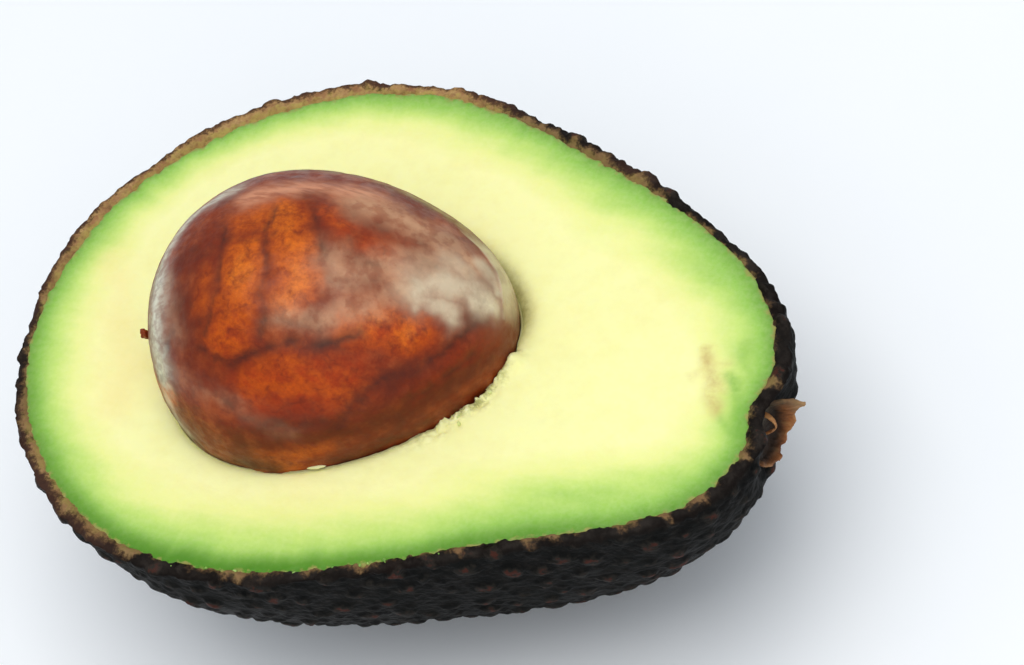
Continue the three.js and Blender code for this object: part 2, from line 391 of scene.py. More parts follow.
# Skin: knobs as on the solid, finer grains between them, wrinkles round the stem, and the cut rim
skin = {
    "around": 840,
    "rows": 150,
    "rimRows": 14,
    "innerRows": 10,
    "middle": np.array((0.0, -1.0, 0.0)),
    "thickness": 1.2,
    "rowPower": 0.85,             # rows lie closer together by the cut
    "knobs": {
        "seed": 20, "tries": 16000, "spacing": 3.3, "radius": (0.85, 1.5), "height": (0.26, 0.55),
        "stretch": 1.7, "drawSeed": 3,
    },
    "grains": {
        "seed": 77, "tries": 9000, "spacing": 1.5, "radius": (0.4, 0.85), "height": (0.06, 0.24),
        "stretch": 1.5, "drawSeed": 4,
    },
    "knobClear": 6.3,             # bare ring round the stem collar
    "knobTop": 3.0,
    "knobRun": (1.6, 1.0, 1.0),   # long knobs tend to lie along the fruit
    "knobDraw": (0.7, 1.15),
    "domePowers": (1.4, 1.2),
    "overlap": 0.4,               # how much the lower adds where a knob and a grain meet
    "bends": [(0.3, 1.3, 5)],
    "swell": [(0.14, 7, 9, 2), (0.09, 1.1, 12, 3)],
    "wrinkleRing": (10, 6),       # distance from the stem and reach
    "wrinkleFrom": (25, 40),
    "wrinkleWander": [(1.6, 6, 41, 2)],
    "wrinkleCount": 4.5,
    "wrinkleHeight": 0.35,
    "wrinklePower": 0.7,
    "wrinkleSink": 0.2,
    "inner": -0.9,                # the rim's inner edge, under the fringe of the flesh
    "brownEdge": 0.03,            # how far the brown of the cut runs down the outside, as an angle
    "reachDip": 0.3,              # how far down the reach below is felt, as an angle
    "reachTrim": 0.12,
    "rollDip": 0.06,              # the outer edge rolls down over this angle, more where it curls
    "roll": 0.55,
    "rollUneven": (0.15, 0.3),
    "rollNoise": [(1.0, 1.3, 15, 3)],
    "rollKnobs": 0.5,
    "scallop": (0.24, 0.3),       # height, and where its middle lies
    "scallopNoise": (1.5, 17),
    "scallopFine": [(0.1, 0.6, 19, 2)],
    "scallopDip": 0.05,
    "rimRough": [(0.2, 1.4, 21, 2), (0.13, 0.45, 25, 2)],
    "darkRough": [(0.15, 0.7, 29, 2)],
    "darkEnds": (0.2, -0.1),      # past the curl the knobs fade out
    "rimHeight": 0.1,
    "rimFall": 0.35,
    "rimFallFrom": 0.55,
    "rimCrown": 0.45,
    "rimCalm": 0.6,               # how rough the rim still is at its two edges
    "insideDrop": (0.3, 0.2),
    "curlPatch": (0.1, 0.75),
    "curlNoise": [(1.0, 1.5, 27, 2)],
    "curlLevel": 0.08,
    # how far the skin reaches past the flesh, in millimetres, at places round the cut
    "reach": [
        (753, 409, 1.5), (775, 371, 1.5), (777, 332, 1.45), (767, 296, 1.3), (748, 264, 1.1),
        (722, 237, 0.75), (692, 213, 0.75), (661, 192, 1.15), (629, 172, 1.25), (596, 154, 1.25),
        (529, 121, 1.05), (510, 113, 1.4), (494, 107, 1.5), (457, 97, 1.35), (430, 92, 0.95),
        (378, 90, 1.25), (336, 95, 1.5), (305, 100, 1.2), (253, 117, 1.4), (230, 127, 1.6),
        (190, 147, 1.4), (165, 163, 1.0), (139, 181, 1.0), (106, 209, 1.35), (85, 232, 1.45),
        (54, 274, 0.9), (50, 285, 1.1), (44, 297, 0.75), (26, 346, 0.75), (23, 382, 0.85), (24, 400, 1.1),
        (27, 427, 1.3), (34, 451, 1.25), (49, 482, 1.1), (71, 510, 1.25), (98, 533, 1.25),
        (211, 572, 1.2), (392, 561, 1.2), (580, 533, 1.2), (716, 485, 1.3),
    ],
    # how far the dark outside curls over the rim, as a share of its width
    "curl": [
        (753, 409, 0.95), (775, 371, 0.8), (777, 332, 0.75), (767, 296, 0.6), (748, 264, 0.5),
        (722, 237, 0.75), (692, 213, 0.6), (661, 192, 0.5), (629, 172, 0.35), (596, 154, 0.5),
        (563, 137, 0.6), (529, 121, 0.45), (494, 107, 0.25), (457, 97, 0.12), (418, 91, 0.1),
        (378, 90, 0.15), (336, 95, 0.06), (253, 117, 0.03), (175, 156, 0.06), (106, 209, 0.08),
        (77, 240, 0.2), (54, 274, 0.25), (37, 310, 0.35), (26, 346, 0.5), (23, 382, 0.5), (25, 417, 0.42),
        (34, 451, 0.32), (49, 482, 0.28), (71, 510, 0.36), (98, 533, 0.34), (131, 552, 0.5),
        (169, 565, 0.72), (211, 572, 0.62), (255, 574, 0.52), (300, 572, 0.56), (346, 567, 0.62),
        (392, 561, 0.52), (439, 553, 0.72), (486, 546, 0.66), (533, 539, 0.66), (580, 533, 0.76),
        (628, 525, 0.62), (675, 511, 0.72), (716, 485, 0.78), (746, 449, 1.0),
    ],
}


# Places for one kind of knob, none of them nearer to another than its spacing
def scatterKnobs(kind):
    random = seededRandom(kind["seed"])
    kept = np.zeros((0, 3))
    sizes = []
    for _ in range(kind["tries"]):
        x = 2 * next(random) - 1
        angle = 2 * math.pi * next(random)
        size = next(random)
        ring = math.sqrt(1 - x * x)
        centre = fruitPoint(np.array((x, ring * math.cos(angle), ring * math.sin(angle))), fruit["skin"])
        if centre[2] > skin["knobTop"] or np.linalg.norm(centre - collar["centre"]) < skin["knobClear"]:
            continue
        if len(kept) and np.linalg.norm(kept - centre, axis=1).min() < kind["spacing"]:
            continue
        kept = np.vstack([kept, centre])
        sizes.append(size)
    return kept, np.array(sizes)


# Height of one kind of knob at points: each is an oval dome, turned by a draw of its own
def knobHeights(points, kind, centres, sizes):
    tree = KDTree(len(points))
    for index, point in enumerate(points.tolist()):
        tree.insert(point, index)
    tree.balance()
    draw = np.random.default_rng(kind["drawSeed"])
    raised = np.zeros(len(points))
    (narrow, wide), (low, high) = kind["radius"], kind["height"]
    sharpness, roundness = skin["domePowers"]
    for centre, size in zip(centres, sizes):
        radius = narrow + (wide - narrow) * size
        height = low + (high - low) * size * draw.uniform(*skin["knobDraw"])
        longer = draw.uniform(1.0, kind["stretch"])
        run = unitVector(draw.normal(size=3) * skin["knobRun"])
        found = np.array([hit[1] for hit in tree.find_range(centre, radius * longer)], int)
        if not len(found):
            continue
        away = points[found] - centre
        share = ((away ** 2).sum(1) - (away @ run) ** 2 * (1 - 1 / longer ** 2)) / radius ** 2
        dome = height * np.clip(1 - np.maximum(share, 0) ** sharpness, 0, None) ** roundness
        raised[found] = np.maximum(raised[found], dome)
    return raised


def stemWrinkles(points):
    away = points - collar["centre"]
    angle = np.arctan2(away[:, 1], -away[:, 2])
    distance = np.hypot(away[:, 1], away[:, 2])
    ring, reach = skin["wrinkleRing"]
    shown = bell(distance - ring, reach) * smoothStep(*skin["wrinkleFrom"], points[:, 0])
    folds = np.abs(np.sin(skin["wrinkleCount"] * angle + uneven(points, skin["wrinkleWander"])))
    return shown * (skin["wrinkleHeight"] * folds ** skin["wrinklePower"] - skin["wrinkleSink"])


# How far the outer edge rolls down, and how it is scalloped, round the cut
def rimEdge(edge, curl, edgeKnobs):
    level, more = skin["rollUneven"]
    roll = skin["roll"] * curl + (level + more * curl) * uneven(edge, skin["rollNoise"])
    height, middle = skin["scallop"]
    size, seed = skin["scallopNoise"]
    scallop = height * (np.abs(latticeNoise(edge / size, seed)) - middle)
    return roll - skin["rollKnobs"] * edgeKnobs, scallop + uneven(edge, skin["scallopFine"])


# The cut rim from its outer to its inner edge, and the knobs that carry on over it where it curls
def cutRim(edge, outer, inner, curl, kinds):
    across = np.linspace(0, 1, skin["rimRows"] + 1)[1:]
    rim = outer + (inner - outer) * across[:, None, None]
    rimFlat = rim.reshape(-1, 3)
    width = np.linalg.norm(inner - edge, axis=1)
    unrolled = edge + across[:, None, None] * width[:, None] * np.array((0, 0, 1.0))
    unrolled = unrolled.reshape(-1, 3)
    unrolled = unrolled + bends(unrolled, skin["bends"])
    knob, grain = (knobHeights(unrolled, *kind) for kind in kinds)
    dark = smoothStep(*skin["darkEnds"], across[:, None] - curl).reshape(-1)
    rough = uneven(rimFlat, skin["rimRough"])
    rough += dark * (np.maximum(knob, grain) + uneven(rimFlat, skin["darkRough"]))
    settled = skin["rimHeight"] - skin["rimFall"] * smoothStep(skin["rimFallFrom"], 1.0, across)
    crown = 1 - (1 - np.minimum(across / skin["rimCrown"], 1)) ** 2
    rim[..., 2] = outer[:, 2] * (1 - crown[:, None]) + (settled * crown)[:, None]
    calm = skin["rimCalm"] + (1 - skin["rimCalm"]) * np.sin(math.pi * across)
    rim[..., 2] += rough.reshape(rim.shape[:2]) * calm[:, None]
    return across, rim, dark * knob


def buildSkin():
    around, rows = skin["around"], skin["rows"]
    angle = turns(around)
    dip = math.pi / 2 * (1 - np.linspace(0, 1, rows + 1)[1:] ** skin["rowPower"])
    directions = sphereDirections(angle, dip)
    reach = roundTheCut(angle, skin["reach"], skin["middle"]) - skin["reachTrim"]
    curl = roundTheCut(angle, skin["curl"], skin["middle"])
    grow = skin["thickness"] + bell(dip, skin["reachDip"])[:, None] * (reach - skin["thickness"])
    base = leaveBody(skin["middle"], directions, fruitLevel, grow)
    outward = outwardAt(base, fruitLevel, grow)
    outward[..., 2] *= smoothStep(0.0, skin["rollDip"], dip)[:, None]
    outward = unitVector(outward)
    flat = base.reshape(-1, 3)
    kinds = [(kind, *scatterKnobs(kind)) for kind in (skin["knobs"], skin["grains"])]
    print("skin knobs and grains", [len(sizes) for _, _, sizes in kinds])
    knob, grain = (knobHeights(flat + bends(flat, skin["bends"]), *kind) for kind in kinds)
    raised = np.maximum(knob, grain) + skin["overlap"] * np.minimum(knob, grain)
    raised += uneven(flat, skin["swell"]) + stemWrinkles(flat)
    outer = base + outward * raised.reshape(rows, around)[..., None]
    outer[..., 2] = np.maximum(outer[..., 2], -fruit["cutHeight"])
    edgeKnobs = np.maximum(knob, grain)[-around:]
    roll, scallop = rimEdge(base[-1], curl, edgeKnobs)
    outer[..., 2] -= roll * smoothStep(skin["rollDip"], 0.0, dip)[:, None]
    outer += outward * (scallop * bell(dip, skin["scallopDip"])[:, None])[..., None]
    inner = leaveBody(skin["middle"], directions[-1], fruitLevel, skin["inner"])
    across, rim, rimTip = cutRim(base[-1], outer[-1], inner, curl, kinds)
    # the inside, down to the flesh's underside
    innerDip = np.linspace(0, math.pi / 2, skin["innerRows"] + 1)[1:-1]
    inside = leaveBody(skin["middle"], sphereDirections(angle, innerDip), fruitLevel, skin["inner"])
    drop, dropDip = skin["insideDrop"]
    inside[..., 2] -= drop * bell(innerDip, dropDip)[:, None]
    floor = fruit["skin"] - fruit["cutHeight"]
    inside[..., 2] = np.maximum(inside[..., 2], floor)
    ends = np.array([(*skin["middle"][:2], z) for z in (-fruit["cutHeight"], floor)])
    rings = np.concatenate([outer, rim, inside])
    points = np.concatenate([ends[:1], rings.reshape(-1, 3), ends[1:]])
    belowEdge = -np.minimum(dip / skin["brownEdge"], 1)
    acrossMark = np.repeat(np.concatenate([belowEdge, across, np.ones(len(innerDip))]), around)
    tipMark = np.concatenate([knob, rimTip, np.zeros(inside[..., 0].size)]) / skin["knobs"]["height"][1]
    level, more = skin["curlPatch"]
    patchyCurl = curl + (level + more * curl) * (uneven(base[-1], skin["curlNoise"]) - skin["curlLevel"])
    marks = {
        "across": withEnds(acrossMark),
        "tip": withEnds(tipMark),
        "curl": withEnds(np.tile(patchyCurl, len(rings))),
        "rolled": withEnds(np.tile(curl, len(rings))),
    }
    return newPiece("avocado_skin", points, ringFaces(len(rings), around), marks)


# Flesh: one closed body, from the bottom of the seed's hollow over the cut face and down under the skin
flesh = {
    "around": 720,
    "hollowRows": 22,
    "faceRows": 104,
    "underRows": 12,
    "gap": 0.1,                   # between seed and flesh
    "outline": 0.05,              # the edge of the cut face, and the part under the skin
    "under": -1.1,
    "floorGap": 0.3,
    "raggedDip": 0.1,             # how far down the hollow's wall is ragged, as an angle
    "ragged": (0.05, 0.6),        # where it is whole and where it is torn
    "raggedNoise": [(1.0, 1 / 16, 31, 3)],
    "fringe": [(0.17, 2.4, 33, 2), (0.17, 0.7, 35, 3)],
    "relief": [(0.13, 13, 51, 2), (0.03, 1.6, 55, 2)],
    "sliceRun": (0.05, 0.35, 1.0),  # the knife's marks run along the fruit
    "slices": [(0.05, 1.0, 57, 2)],
    "skinDip": (0.42, 0.2),       # depth and reach of the dips at the skin, at the seed and in the groove
    "seedDip": (0.4, 0.35),
    "softDip": (0.35, 1.2),
    "softReach": 1.7,
    "softFade": (0.1, 0.25, 0.12),
    "frayReach": 0.8,
    "fray": [(0.16, 0.6, 61, 2)],
    "tearReach": 1.4,
    "tear": [(0.6, 0.8, 65, 3)],
    "bends": [(1.2, 5, 68)],      # of the strokes below
    "batches": 40,
    "softEdge": (450, 205),       # between these pixels the flesh meets the seed in a soft dull groove, coloured with an olive stain and painted shade
    "softMiddle": (508, 268),
    "softEnd": (524, 345),
    # how far the flesh's edge stays inside its outline, in millimetres
    "drawnIn": [
        (753, 409, 0.3), (777, 332, 0.2), (722, 237, 0.35), (661, 192, 0.35), (596, 154, 0.4),
        (529, 121, 0.3), (457, 97, 0.1), (378, 90, 0.3), (294, 104, 0.5), (213, 135, 0.4),
        (139, 181, 0.2), (77, 240, 0.3), (37, 310, 0.15), (25, 417, 0.1), (71, 510, 0.15),
        (131, 552, 0.1), (255, 574, 0.0), (392, 561, -0.1), (533, 539, 0.0), (675, 511, 0.0),
        (746, 449, 0.3),
    ],
    "tornPixel": (462, 404),      # where the flesh is torn along the seed
    "tornSpread": 0.36,
    # lumps of flesh pushed up against the seed: pixel, reach and rise in millimetres
    "lumps": [
        ((513, 363), 1.3, 1.2), ((500, 378), 0.9, 0.7), ((478, 394), 0.8, 0.6), ((447, 417), 0.8, 0.55),
    ],
    # width of the green band in millimetres, at places round the cut
    "greenBand": [
        (400, 92, 7.8), (250, 118, 6.2), (175, 156, 6.5), (106, 209, 7.8), (80, 250, 9.0),
        (30, 385, 10.0), (60, 470, 10.5), (140, 555, 11.0), (260, 574, 11.5), (400, 560, 11.5),
        (520, 545, 11.8), (620, 525, 12.3), (700, 495, 12.0), (745, 440, 9.0), (752, 405, 7.0),
        (778, 345, 10.5), (755, 280, 11.5), (690, 222, 10.5), (600, 158, 9.0), (500, 108, 9.0),
    ],
    # how much darker the green is at its very edge: the flesh's deeper green there, with painted shade that
    # is strongest along the near, lower side of the cut
    "darkEdge": [
        (400, 92, 0.1), (175, 156, 0.0), (54, 274, 0.15), (25, 417, 0.45), (71, 510, 0.7),
        (169, 565, 1.0), (276, 573, 1.0), (415, 557, 0.8), (533, 539, 0.65), (628, 525, 0.4),
        (716, 485, 0.4), (753, 409, 0.2), (777, 332, 0.1), (596, 154, 0.0),
    ],
    "smudge": [([(714, 350), (721, 380), (717, 408)], 1.1, 0.75), ([(700, 380), (735, 366)], 0.8, 0.4)],
    "greenPatch": [
        ([(735, 380), (738, 398)], 0.8, 0.8), ([(742, 412), (738, 432)], 0.9, 0.7),
        ([(724, 418), (730, 428)], 0.7, 0.5), ([(748, 352), (752, 372)], 1.2, 0.5),
    ],
    # warm painted shade on the flesh beside the seed
    "warmShade": [([(118, 262), (126, 330), (124, 400)], 3.2, 0.45), ([(560, 330), (650, 300)], 6.0, 0.12)],
}


def fleshMiddle():
    return np.array((seedForm["centre"][0], seedForm["centre"][1], 0.0))


def turnTowards(pixel):
    away = pixelOnCut(pixel) - fleshMiddle()
    return math.atan2(away[1], away[0])


def softGroove(angle):
    middle = turnTowards(flesh["softMiddle"])
    ends = [np.angle(np.exp(1j * (turnTowards(flesh[name]) - middle))) for name in ("softEdge", "softEnd")]
    turn = np.angle(np.exp(1j * (angle - middle)))
    low, high = min(ends), max(ends)
    past, start, end = flesh["softFade"]
    return smoothStep(low - past, low + start, turn) * smoothStep(high + past, high - end, turn)


# Height of the cut face, which dips at the skin and at the seed and is torn along part of the seed
def faceRelief(points, fromSkin, fromSeed, soft, tearing):
    relief = uneven(points, flesh["relief"]) + uneven(points * flesh["sliceRun"], flesh["slices"])
    for (depth, reach), distance in ((flesh["skinDip"], fromSkin), (flesh["seedDip"], fromSeed)):
        relief -= depth * np.exp(-distance / reach)
    depth, reach = flesh["softDip"]
    relief -= depth * soft * bell(fromSeed, reach)
    relief += np.exp(-fromSkin / flesh["frayReach"]) * uneven(points, flesh["fray"])
    relief += tearing * uneven(points, flesh["tear"])
    for pixel, reach, rise in flesh["lumps"]:
        relief += rise * bell(np.linalg.norm(points - pixelOnCut(pixel), axis=1), reach)
    return relief


def buildFlesh():
    around, faceRows = flesh["around"], flesh["faceRows"]
    angle = turns(around)
    middle = fleshMiddle()
    torn = nearAngle(angle, turnTowards(flesh["tornPixel"]), flesh["tornSpread"])
    # the hollow's wall: ragged at its edge where it is torn
    dip = np.linspace(math.pi / 2, 0, flesh["hollowRows"] + 1)[1:]
    directions = sphereDirections(angle, dip)
    edgeNoise = uneven(ringOf(angle), flesh["raggedNoise"])
    whole, loose = flesh["ragged"]
    ragged = bell(dip, flesh["raggedDip"])[:, None] * (whole * np.abs(edgeNoise) + loose * torn * edgeNoise)
    hollow = leaveBody(middle, directions, seedLevel, 0.0) + directions * (flesh["gap"] + ragged)[..., None]
    # the cut face, between the hollow's edge and the frayed edge on the rim
    edge = hollow[-1]
    outline = leaveBody(middle, directions[-1], fruitLevel, flesh["outline"])
    fringe = uneven(outline, flesh["fringe"]) - roundTheCut(angle, flesh["drawnIn"], middle)
    outline = outline + directions[-1] * fringe[:, None]
    share = 0.5 - 0.5 * np.cos(math.pi * np.arange(1, faceRows + 1) / faceRows)
    face = edge + (outline - edge) * share[:, None, None]
    faceFlat = face.reshape(-1, 3).copy()
    fromSkin = np.concatenate([
        np.sqrt(((part[:, None, :2] - outline[None, :, :2]) ** 2).sum(-1)).min(1)
        for part in np.array_split(faceFlat, flesh["batches"])
    ])
    fromSeed = np.linalg.norm(face - edge, axis=-1).reshape(-1)
    soft = np.tile(softGroove(angle), faceRows)
    tearing = np.tile(torn, faceRows) * bell(fromSeed, flesh["tearReach"])
    face[..., 2] += faceRelief(faceFlat, fromSkin, fromSeed, soft, tearing).reshape(face.shape[:2])
    # under the skin, pressed flat where the half rests
    underDip = np.linspace(0, math.pi / 2, flesh["underRows"] + 1)[1:-1]
    under = leaveBody(middle, sphereDirections(angle, underDip), fruitLevel, flesh["under"])
    down = np.array([(0.0, 0.0, -1.0)])
    hollowEnd = leaveBody(middle, down, seedLevel, flesh["gap"])
    underEnd = leaveBody(middle, down, fruitLevel, flesh["under"])
    for body in (under, underEnd):
        body[..., 2] = np.maximum(body[..., 2], fruit["skin"] + flesh["floorGap"] - fruit["cutHeight"])
    rings = np.concatenate([hollow, face, under])
    points = np.concatenate([hollowEnd, rings.reshape(-1, 3), underEnd])
    wallCount, underCount = hollow[..., 0].size, under[..., 0].size

    # a mark's values on the face, and one value each for the hollow's wall and for the underside
    def onFace(body, wall=0.0, below=0.0):
        return np.concatenate([np.full(wallCount + 1, wall), body, np.full(underCount + 1, below)])

    def roundFace(controls):
        return np.tile(roundTheCut(angle, controls, middle), faceRows)

    marks = {
        "ripe": onFace(fromSkin / roundFace(flesh["greenBand"]), 1.5, 0.0),
        "fromSkin": onFace(fromSkin, 20.0, 0.0),
        "fromSeed": onFace(fromSeed, -1.0, 40.0),
        "torn": onFace(tearing),
        "soft": onFace(soft * bell(fromSeed, flesh["softReach"])),
        "darkEdge": onFace(roundFace(flesh["darkEdge"])),
    }
    warp = bends(faceFlat, flesh["bends"]) * np.array((1, 1, 0))
    for name in ("smudge", "greenPatch", "warmShade"):
        marks[name] = onFace(strokeMask(faceFlat, flesh[name], warp, pixelOnCut))
    faces = [tuple(reversed(corners)) for corners in ringFaces(len(rings), around)]
    return newPiece("avocado_flesh", points, faces, marks)


# Seed: a mottled coat. Strokes run through pixels of the photograph, each with its half width and strength.
seedLook = {
    "around": 480,
    "rings": 200,
    "glow": [
        ([(246, 250), (242, 272)], 2.7, 0.95), ([(242, 288), (231, 318), (226, 339)], 3.3, 0.7),
        ([(204, 270), (199, 306)], 1.7, 0.38), ([(284, 212), (288, 234), (297, 268)], 3.3, 0.8),
        ([(306, 276), (288, 298)], 2.6, 0.85), ([(244, 222), (259, 209)], 2.6, 0.55),
        ([(332, 214), (340, 220)], 1.8, 0.55), ([(355, 332), (380, 322), (412, 331)], 2.5, 0.95),
        ([(258, 386), (288, 378), (330, 385), (352, 396)], 3.7, 0.58),
        ([(288, 457), (324, 448)], 1.9, 0.5), ([(204, 402), (229, 419)], 2.2, 0.3),
        ([(366, 245), (390, 254)], 2.2, 0.35),
    ],
    "red": [
        ([(232, 325), (226, 345)], 2.6, 0.6), ([(352, 333), (382, 330), (420, 336)], 2.8, 0.8),
        ([(262, 392), (300, 388), (345, 380)], 4.2, 0.8), ([(332, 216), (345, 226)], 2.2, 0.6),
        ([(366, 245), (398, 258)], 2.5, 0.55), ([(420, 386), (456, 362), (484, 346)], 2.8, 0.7),
        ([(372, 395), (340, 408)], 2.2, 0.6),
    ],
    "vein": [
        ([(275, 207), (265, 234), (267, 259), (261, 289), (265, 318), (259, 340)], 0.45, 0.75),
        ([(227, 224), (221, 259), (219, 284), (210, 318), (204, 335)], 0.4, 0.6),
        ([(200, 350), (229, 362), (259, 351), (288, 346), (309, 345), (338, 346), (356, 336)], 0.75, 0.85),
        ([(317, 211), (320, 242), (327, 263)], 0.6, 0.7),
        ([(345, 236), (352, 248), (366, 262), (384, 268)], 0.5, 0.5),
        ([(418, 255), (436, 262)], 0.6, 0.55), ([(410, 398), (444, 380), (476, 352)], 0.5, 0.6),
        ([(278, 232), (262, 240), (240, 238)], 0.4, 0.45),
        ([(359, 408), (380, 377), (414, 372), (439, 356), (471, 326)], 0.8, 0.75),
        ([(226, 402), (259, 423), (296, 425), (338, 423), (364, 406)], 0.9, 0.6),
        ([(355, 232), (360, 260)], 0.5, 0.4), ([(262, 318), (290, 322), (318, 330)], 0.9, 0.5),
    ],
    "dark": [
        ([(372, 421), (422, 400), (481, 366), (508, 342)], 1.9, 0.75),
        ([(362, 400), (392, 386), (416, 378)], 1.7, 0.55),
        ([(186, 252), (184, 320), (190, 362)], 2.0, 0.45), ([(472, 318), (484, 326)], 1.2, 0.75),
        ([(240, 446), (300, 436), (360, 428)], 1.6, 0.45),
        ([(376, 410), (430, 386), (476, 360)], 2.4, 0.55),
    ],
    "tipRed": [([(500, 330), (512, 338), (518, 350)], 2.4, 1.0)],
    "veil": [
        ([(284, 314), (322, 322), (372, 305), (408, 286)], 1.8, 0.75),
        ([(330, 259), (345, 280), (406, 262)], 2.4, 0.75),
        ([(365, 204), (406, 224), (452, 251)], 2.8, 0.9),
        ([(160, 350), (196, 385), (238, 406), (288, 436)], 1.4, 0.28),
        ([(168, 280), (176, 330)], 1.6, 0.45), ([(405, 262), (440, 262)], 2.4, 0.75),
        ([(440, 236), (470, 262)], 2.4, 0.95),
    ],
    # a whitish film on the coat, with a painted soft reflection over it
    "film": [
        ([(422, 288), (450, 282), (478, 295)], 2.6, 0.72), ([(416, 286), (418, 300)], 1.1, 0.72),
        ([(474, 298), (490, 306)], 2.0, 0.95), ([(478, 262), (494, 288)], 1.2, 0.7),
        ([(430, 302), (452, 312)], 1.5, 0.7), ([(452, 262), (470, 278)], 1.6, 0.5),
    ],
    # the silvery coat along the seed's edges, with a painted sheen over it
    "silverCoatAndSheen": [
        ([(158, 284), (155, 326), (160, 368)], 2.7, 0.9),
        ([(166, 258), (198, 214), (232, 191)], 1.5, 0.75), ([(166, 394), (184, 428)], 1.2, 0.6),
    ],
    "salmon": [([(250, 196), (309, 187), (362, 194)], 2.0, 0.95)],
    "olive": [([(398, 191), (433, 207), (466, 229)], 1.2, 0.75)],
    "moss": [
        ([(168, 412), (198, 446), (236, 463), (268, 468)], 2.8, 0.85),
        ([(340, 462), (392, 442), (430, 422)], 1.1, 0.6),
    ],
    "lip": [(468, 238), (481, 251), (493, 270), (499, 288), (502, 306), (503, 318)],
    "lipReach": 6.2,
    "lipWidth": 0.22,
    "bareEdge": (-0.05, 0.45),    # the coat thins out over this distance past the lip
    "bends": [(0.7, 5, 71), (0.45, 1.4, 73)],
    "lipBend": 0.5,
    "veinBend": 0.8,
    "veinPower": 1.5,
    "relief": [(0.14, 7, 81, 2), (0.035, 1.2, 85, 2)],
    "rises": {"glow": 0.05, "vein": -0.1, "bare": -0.1, "lip": 0.16, "film": 0.05},
    # for the side that the photograph doesn't show: count, corners, stride, strengths and half widths
    "far": {
        "glow": (22, 3, 0.22, (0.35, 1.0), (1.8, 3.8)),
        "vein": (14, 6, 0.25, (0.4, 0.85), (0.45, 0.9)),
    },
    "farSeed": 8,
    "farFacing": 0.15,
    "farWander": 0.5,
}


# A short walk over the seed's surface, away from what the photograph shows
def farStroke(draw, steps, stride):
    _, _, _, back = cameraAxes()
    while True:
        unit = unitVector(draw.normal(size=3))
        if unit @ back < seedLook["farFacing"]:
            break
    heading = np.cross(unit, draw.normal(size=3))
    corners = []
    for _ in range(steps):
        corners.append(seedPoint(unit))
        heading = unitVector(heading) + seedLook["farWander"] * draw.normal(size=3)
        unit = unitVector(unit + stride * unitVector(heading))
    return corners


def addFarStrokes(points, marks):
    draw = np.random.default_rng(seedLook["farSeed"])
    for name, (count, steps, stride, strengths, widths) in seedLook["far"].items():
        for _ in range(count):
            away = awayFromLine(points, farStroke(draw, steps, stride))
            strength, width = draw.uniform(*strengths), draw.uniform(*widths)
            marks[name] = np.maximum(marks[name], strength * bell(away, width))


# Signed distance across the lip's line, above zero on the side away from the seed's middle
def lipSide(points, line):
    best = np.full(len(points), np.inf)
    side = np.zeros(len(points))
    _, right, _, _ = cameraAxes()
    for start, end, away in waysFromLine(points, line):
        distance = np.linalg.norm(away, axis=1)
        across = unitVector(np.cross(end - start, (start + end) / 2 - seedForm["centre"]))
        across *= math.copysign(1, across @ right)
        side = np.where(distance < best, away @ across, side)
        best = np.minimum(best, distance)
    return side


def buildSeed():
    around, rings = seedLook["around"], seedLook["rings"]
    slant = np.linspace(math.pi, 0, rings + 2)[1:-1, None, None]
    tip = np.array((1.0, 0, 0))
    ringUnits = np.cos(slant) * tip + np.sin(slant) * np.roll(ringOf(turns(around)), 1, axis=-1)
    units = np.concatenate([[-tip], ringUnits.reshape(-1, 3), [tip]])
    points = seedPoint(units)
    warp = bends(points, seedLook["bends"])
    torn = points + seedLook["lipBend"] * warp
    plain = ("glow", "red", "dark", "tipRed", "veil", "film", "silverCoatAndSheen", "salmon", "olive", "moss")
    marks = {name: strokeMask(points, seedLook[name], warp, pixelOnSeed) for name in plain}
    veinWarp = seedLook["veinBend"] * warp
    marks["vein"] = strokeMask(points, seedLook["vein"], veinWarp, pixelOnSeed, seedLook["veinPower"])
    addFarStrokes(points + warp, marks)
    # past the lip the coat is gone and the surface lies lower
    lipLine = [pixelOnSeed(pixel) for pixel in seedLook["lip"]]
    byLip = bell(np.linalg.norm(points - np.mean(lipLine, axis=0), axis=1), seedLook["lipReach"], 6)
    pastLip = smoothStep(*seedLook["bareEdge"], lipSide(torn, lipLine))
    marks["bare"] = pastLip * byLip * (1 - marks["tipRed"])
    marks["lip"] = bell(awayFromLine(torn, lipLine), seedLook["lipWidth"])
    relief = uneven(points, seedLook["relief"])
    relief += sum(rise * marks[name] for name, rise in seedLook["rises"].items())
    points = points + outwardAt(points, seedLevel, 0.0) * relief[:, None]
    return newPiece("avocado_seed", points, ringFaces(rings, around), marks)


# Torn collar where the stem was: a thin woody cup, high and jagged on its far side, low by the cut
collarLook = {
    "around": 220,
    "wallRows": 14,
    "floorRows": 8,
    "foot": 1.2,                  # sunk into the skin
    "low": 0.4,
    "high": 2.3,
    "highTurn": math.radians(215),
    "spike": 1.6,
    "spikeTurn": math.radians(284),
    "flare": 0.5,                 # at this height, by this power of the way up
    "flareHeight": 3.0,
    "flarePower": 1.5,
    "greyTurn": math.radians(322),  # where the wood is weathered grey
    "greySpread": 0.6,
    "wallEnds": (-0.5, -0.05),
    "lean": 0.4,                  # the wall climbs from this share up to the spike
    "leanFrom": math.radians(165),
    "spikeSpread": 0.2,
    "waves": [(0.16, 5), (0.096, 11)],
    "jags": [(0.3, 0.2, 91, 3)],
    "lowJags": 0.3,
    "footTaper": 0.6,
    "lipIn": 0.2,
    "lipUp": 0.06,
    "lipInside": 0.6,             # its mark, 0 outside and 1 inside
    "thinning": 0.4,              # the wall thins towards its edge
    "floor": 0.1,
    "floorDip": 0.5,
    "floorShares": (0.9, 0.08),
    "fibreMiddle": 0.4,           # nearer to the axis the fibres fade out
    "fibreRun": (0.5, 2.4, 2.4),
    "fibres": [(0.15, 1.0, 95, 3)],
    "bends": [(0.1, 0.8, 97)],
}


